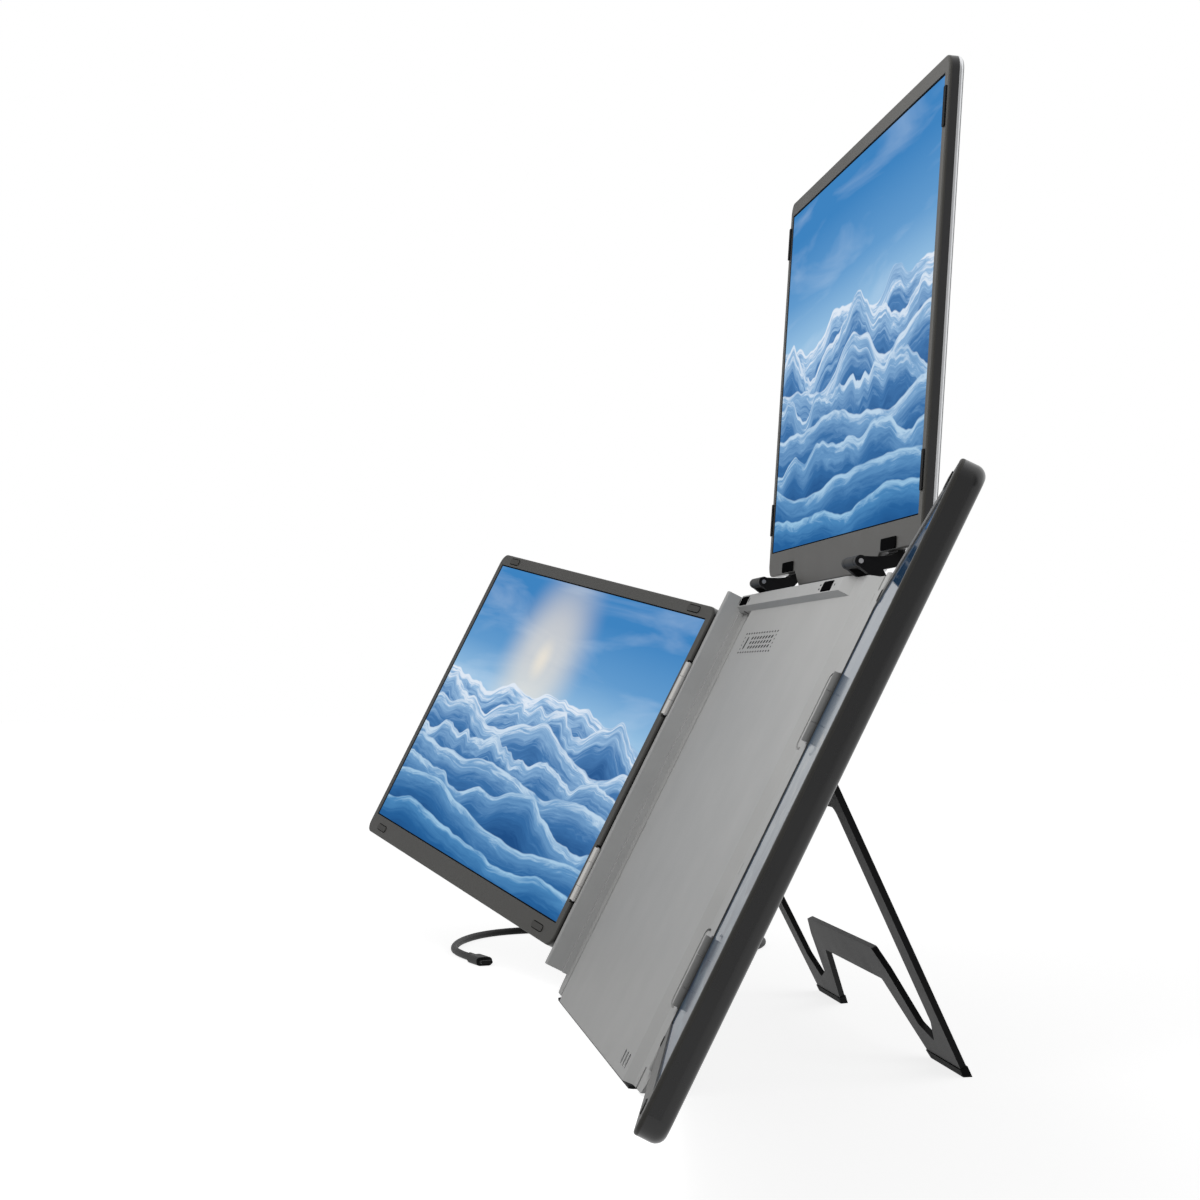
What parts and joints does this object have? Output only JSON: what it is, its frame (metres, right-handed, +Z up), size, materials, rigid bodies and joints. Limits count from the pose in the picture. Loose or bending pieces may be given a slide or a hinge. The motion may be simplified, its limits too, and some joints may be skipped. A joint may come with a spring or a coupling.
{
  "type": "laptop screen extender",
  "caption": "Free-standing laptop screen extender: leaning body with left, right and top displays on friction hinges, a folding kickstand, press keys and a loose USB-C cable.",
  "frame": {"origin": "centre of the underside of the body's rubber foot strip, on the table", "axes": "+Z up, +X to the user's right along the body's width, -Y towards the user, so the body leans back towards +Y"},
  "size_m": [1.181, 0.2841, 0.495],
  "materials": {
    "cover_grey": "satin grey",
    "rear_black": "fine matt",
    "bezel_dark": "fine matt",
    "shell_dark": "satin",
    "shell_silver": "satin anodised",
    "display": null,
    "panel_metal": "sealed display panel",
    "board_green": "circuit board",
    "chip_black": "chips and connectors",
    "steel": "satin steel",
    "hinge_silver": "bright satin",
    "hinge_black": "satin black",
    "stand_grey": "satin dark grey",
    "rubber_black": "matt",
    "key_black": "matt",
    "cable_black": "satin"
  },
  "bodies": {
    "body": {"front_cover": "cover_grey", "rear_cover": "rear_black", "base_foot": "rubber_black", "cover_screws": "steel", "main_board": "board_green", "board_chips": "chip_black", "port_board": "board_green", "usb_sockets": "steel", "hdmi_socket": "steel", "key_boards": "board_green", "key_switches": "chip_black", "left_fixed_leaves": "hinge_silver", "right_fixed_leaves": "hinge_silver", "left_hinge_pins": "steel", "right_hinge_pins": "steel", "top_brackets": "hinge_black", "top_hinge_pins": "steel", "kickstand_lugs": "hinge_black", "kickstand_pins": "steel", "cable": "cable_black", "body_plug": "cable_black", "laptop_plug": "cable_black"},
    "left_wing": {"left_bezel": "bezel_dark", "left_display_glass": "display", "left_display_panel": "panel_metal", "left_rear_shell": "shell_dark", "left_driver_board": "board_green", "left_pads": "rubber_black", "left_moving_leaves": "hinge_silver", "left_leaf_screws": "steel"},
    "right_wing": {"right_bezel": "bezel_dark", "right_display_glass": "display", "right_display_panel": "panel_metal", "right_rear_shell": "shell_dark", "right_driver_board": "board_green", "right_pads": "rubber_black", "right_moving_leaves": "hinge_silver", "right_leaf_screws": "steel"},
    "top_screen": {"top_bezel": "bezel_dark", "top_display_glass": "display", "top_display_panel": "panel_metal", "top_rear_shell": "shell_silver", "top_driver_board": "board_green", "top_bumpers": "rubber_black", "top_arms": "hinge_black", "top_arm_caps": "hinge_black"},
    "kickstand": {"kickstand_frame": "stand_grey", "kickstand_feet": "rubber_black"},
    "left_key": {"ledge_key_left": "key_black"},
    "right_key": {"ledge_key_right": "key_black"}
  },
  "joints": [
    {"name": "left_wing_hinge", "type": "hinge", "parent": "body", "child": "left_wing", "pos_m": [-0.203, 0.04831, 0.13394], "axis": [0, 0.4633, 0.8862], "range_deg": [-22.2, 162.8]},
    {"name": "right_wing_hinge", "type": "hinge", "parent": "body", "child": "right_wing", "pos_m": [0.203, 0.05859, 0.12857], "axis": [0, -0.4633, -0.8862], "range_deg": [-15.2, 169.8]},
    {"name": "top_screen_hinge", "type": "hinge", "parent": "body", "child": "top_screen", "pos_m": [0, 0.11755, 0.25256], "axis": [1, 0, 0], "range_deg": [-22.7, 157.3]},
    {"name": "kickstand_hinge", "type": "hinge", "parent": "body", "child": "kickstand", "pos_m": [0, 0.08952, 0.15212], "axis": [-1, 0, 0], "range_deg": [0, 52.3]},
    {"name": "left_key_press", "type": "slide", "parent": "body", "child": "left_key", "axis": [0, 0.8862, -0.4633], "range_m": [0, 0.0008], "stiffness_N_per_m": 500},
    {"name": "right_key_press", "type": "slide", "parent": "body", "child": "right_key", "axis": [0, 0.8862, -0.4633], "range_m": [0, 0.0008], "stiffness_N_per_m": 500}
  ]
}
